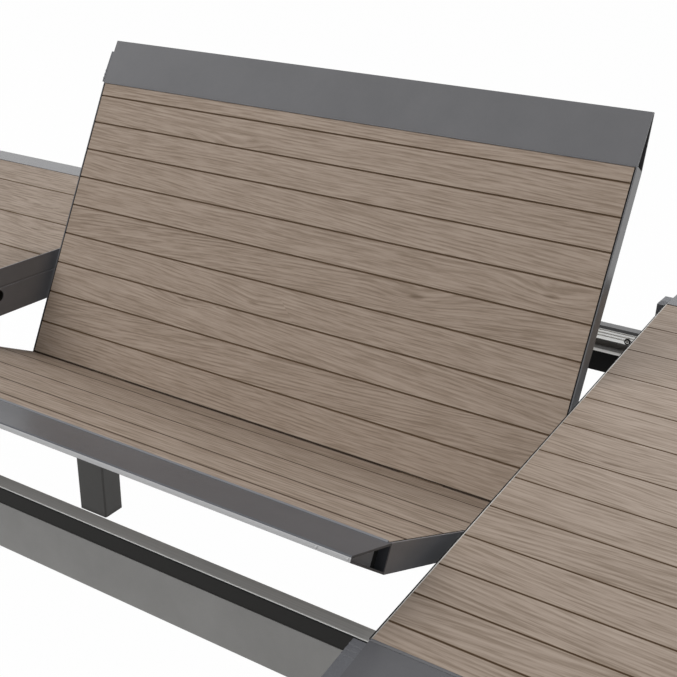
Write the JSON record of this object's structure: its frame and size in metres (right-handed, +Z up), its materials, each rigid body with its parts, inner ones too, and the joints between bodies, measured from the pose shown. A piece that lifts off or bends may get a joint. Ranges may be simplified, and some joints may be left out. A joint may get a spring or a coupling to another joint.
{
  "type": "extendable garden table",
  "caption": "Long garden table with grooved wood-look sliding tops in bevelled grey frames, pulled open on rails with a centre leaf half unfolded between them.",
  "frame": {"origin": "on the floor, under the middle of the open table", "axes": "+X along the table towards the right-hand top, +Y towards the far side, where the leaf's upright half faces away, +Z up"},
  "size_m": [2.463, 0.996, 1.0304],
  "materials": {
    "deck_boards": "matt greyed oak decor with narrow dark grooves",
    "frame": "fine textured grey powder coat",
    "slide_rail": "drawn natural aluminium, satin",
    "end_trim": "bright satin aluminium strip",
    "seal": "matt black extruded rubber",
    "black_plastic": "matt black moulded plastic",
    "grey_plastic": "matt dark grey moulded plastic",
    "pin_steel": "turned stainless steel"
  },
  "bodies": {
    "base": {"apron_caps": "black_plastic", "apron_far": "frame", "apron_near": "frame", "end_apron_left": "frame", "end_apron_right": "frame", "foot_pads": "black_plastic", "glide_strips": "black_plastic", "leg_far_left": "frame", "leg_far_right": "frame", "leg_near_left": "frame", "leg_near_right": "frame", "pivot_bracket_left": "frame", "pivot_bracket_right": "frame", "pivot_pins": "pin_steel", "ties": "frame", "track_far": "slide_rail", "track_near": "slide_rail"},
    "left_top": {"left_cross_rails": "frame", "left_deck": "deck_boards", "left_edge_end": "frame", "left_edge_far": "frame", "left_edge_near": "frame", "left_end_beam": "frame", "left_end_seal": "seal", "left_end_trim": "end_trim", "left_glides": "black_plastic", "left_runner_far": "slide_rail", "left_runner_near": "slide_rail"},
    "right_top": {"right_cross_rails": "frame", "right_deck": "deck_boards", "right_edge_end": "frame", "right_edge_far": "frame", "right_edge_near": "frame", "right_end_beam": "frame", "right_end_seal": "seal", "right_end_trim": "end_trim", "right_glides": "black_plastic", "right_plugs": "grey_plastic", "right_runner_far": "slide_rail", "right_runner_near": "slide_rail"},
    "leaf_near": {"leaf_near_deck": "deck_boards", "leaf_near_end_frames": "frame", "leaf_near_end_seals": "seal", "leaf_near_hinge_leaves": "pin_steel", "leaf_near_hinge_pins": "pin_steel", "leaf_near_hinge_rail": "frame", "leaf_near_pivot_arms": "frame", "leaf_near_plug": "grey_plastic", "leaf_near_profile": "frame", "leaf_near_rest_pads": "black_plastic", "leaf_near_ribs": "frame"},
    "leaf_far": {"leaf_far_deck": "deck_boards", "leaf_far_end_frames": "frame", "leaf_far_end_seals": "seal", "leaf_far_hinge_leaves": "pin_steel", "leaf_far_hinge_rail": "frame", "leaf_far_plug": "grey_plastic", "leaf_far_profile": "frame", "leaf_far_rest_pads": "black_plastic", "leaf_far_ribs": "frame"}
  },
  "joints": [
    {"name": "left_top_slide", "type": "slide", "parent": "base", "child": "left_top", "axis": [-1, 0, 0], "range_m": [-0.009, 0.04]},
    {"name": "right_top_slide", "type": "slide", "parent": "base", "child": "right_top", "axis": [1, 0, 0], "range_m": [-0.009, 0.04]},
    {"name": "leaf_pivot", "type": "hinge", "parent": "base", "child": "leaf_near", "pos_m": [0, -0.2939, 0.6385], "axis": [-1, 0, 0], "range_deg": [-26.56, 23.79]},
    {"name": "leaf_fold", "type": "hinge", "parent": "leaf_near", "child": "leaf_far", "pos_m": [0, 0.0099, 0.58893], "axis": [1, 0, 0], "range_deg": [-89.7, 80.4]}
  ],
  "couplings": [
    {"joint": "leaf_fold", "follows": "leaf_pivot", "ratio": 3.3765}
  ]
}
